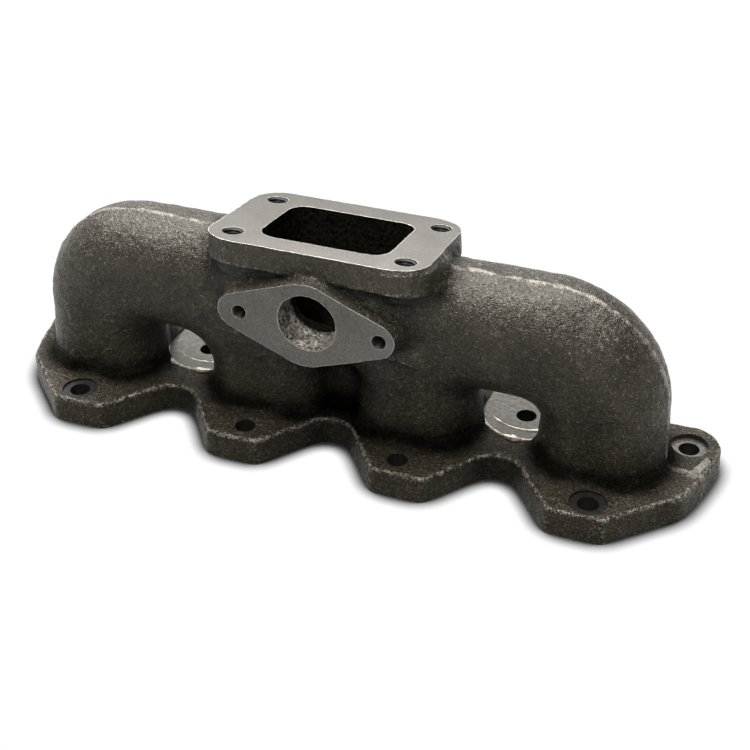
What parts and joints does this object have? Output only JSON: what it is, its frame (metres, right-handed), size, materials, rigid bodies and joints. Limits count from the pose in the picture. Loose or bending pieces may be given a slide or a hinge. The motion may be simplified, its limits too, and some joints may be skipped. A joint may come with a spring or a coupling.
{
  "type": "exhaust manifold",
  "caption": "Cast-iron log exhaust manifold: a lobed head flange feeds a log tube with end elbows, a tilted rectangular turbo flange and a diamond wastegate outlet.",
  "frame": {"origin": "on the head face, on the line through the port centres, midway between ports 2 and 3", "axes": "+X along the row of ports from port 1 to port 4, -Y towards the side the wastegate outlet faces, +Z away from the cylinder head"},
  "size_m": [0.3597, 0.0913, 0.1118],
  "materials": {
    "cast_skin": "as-cast, fine sand grain, dark warm grey, rubbed lighter on edges",
    "machined_iron": "face-milled, satin light grey, bright chamfered edges"
  },
  "bodies": {
    "root": {"head_flange": "cast_skin", "runner_1": "cast_skin", "runner_2": "cast_skin", "runner_3": "cast_skin", "runner_4": "cast_skin", "log_left": "cast_skin", "log_right": "cast_skin", "collector": "cast_skin", "turbo_neck": "cast_skin", "turbo_flange": "machined_iron", "wastegate_neck": "cast_skin", "wastegate_flange": "machined_iron"}
  },
  "joints": []
}
